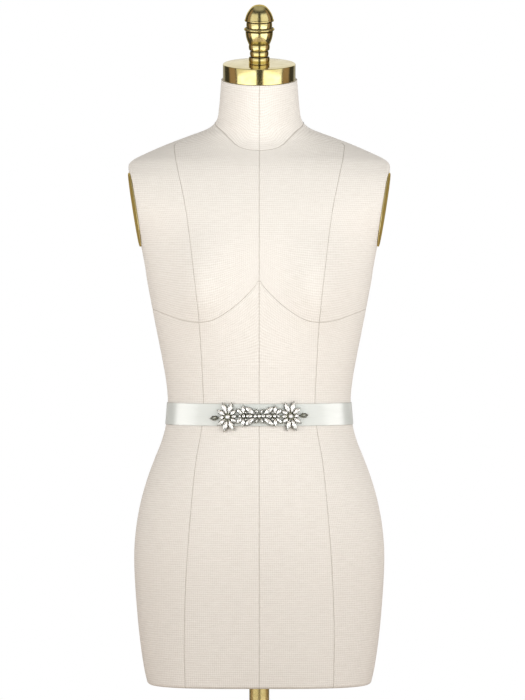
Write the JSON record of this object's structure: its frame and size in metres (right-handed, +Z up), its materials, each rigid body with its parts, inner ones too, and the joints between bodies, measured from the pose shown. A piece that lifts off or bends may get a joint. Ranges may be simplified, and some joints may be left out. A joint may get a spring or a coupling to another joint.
{
  "type": "bridal sash on a dress form",
  "caption": "Flat ivory satin ribbon sash with a clear crystal flower applique at the centre front, worn at the waist of a linen-covered limbless dress form on a pole and round base.",
  "frame": {"origin": "on the floor under the middle of the base's underside", "axes": "+Z up, +X to the viewer's right facing the front of the sash, -Y out of the sash's centre front; the sash is worn about 0.54 m up"},
  "size_m": [0.3502, 0.3, 1.0792],
  "materials": {
    "linen": "woven linen",
    "satin": "satin ribbon",
    "brass": "polished",
    "stand": "brushed",
    "setting": "polished",
    "crystal": "faceted"
  },
  "bodies": {
    "root": {"applique_setting": "setting", "armhole_plate_left": "brass", "armhole_plate_right": "brass", "base": "stand", "finial": "brass", "form_torso": "linen", "neck_cap": "brass", "pole": "brass", "sash_band": "satin", "stone_knot": "crystal", "stone_left_back_leaf_lower": "crystal", "stone_left_back_leaf_upper": "crystal", "stone_left_bud_lower": "crystal", "stone_left_bud_upper": "crystal", "stone_left_end": "crystal", "stone_left_flower": "crystal", "stone_left_fore_leaf_lower": "crystal", "stone_left_fore_leaf_upper": "crystal", "stone_left_knot": "crystal", "stone_left_loop_lower": "crystal", "stone_left_loop_upper": "crystal", "stone_left_middle_leaf": "crystal", "stone_left_petal_lower_108": "crystal", "stone_left_petal_lower_144": "crystal", "stone_left_petal_lower_36": "crystal", "stone_left_petal_lower_72": "crystal", "stone_left_petal_upper_0": "crystal", "stone_left_petal_upper_108": "crystal", "stone_left_petal_upper_144": "crystal", "stone_left_petal_upper_180": "crystal", "stone_left_petal_upper_36": "crystal", "stone_left_petal_upper_72": "crystal", "stone_left_seed": "crystal", "stone_left_sprig": "crystal", "stone_right_back_leaf_lower": "crystal", "stone_right_back_leaf_upper": "crystal", "stone_right_bud_lower": "crystal", "stone_right_bud_upper": "crystal", "stone_right_end": "crystal", "stone_right_flower": "crystal", "stone_right_fore_leaf_lower": "crystal", "stone_right_fore_leaf_upper": "crystal", "stone_right_knot": "crystal", "stone_right_loop_lower": "crystal", "stone_right_loop_upper": "crystal", "stone_right_middle_leaf": "crystal", "stone_right_petal_lower_108": "crystal", "stone_right_petal_lower_144": "crystal", "stone_right_petal_lower_36": "crystal", "stone_right_petal_lower_72": "crystal", "stone_right_petal_upper_0": "crystal", "stone_right_petal_upper_108": "crystal", "stone_right_petal_upper_144": "crystal", "stone_right_petal_upper_180": "crystal", "stone_right_petal_upper_36": "crystal", "stone_right_petal_upper_72": "crystal", "stone_right_seed": "crystal", "stone_right_sprig": "crystal"}
  },
  "joints": []
}
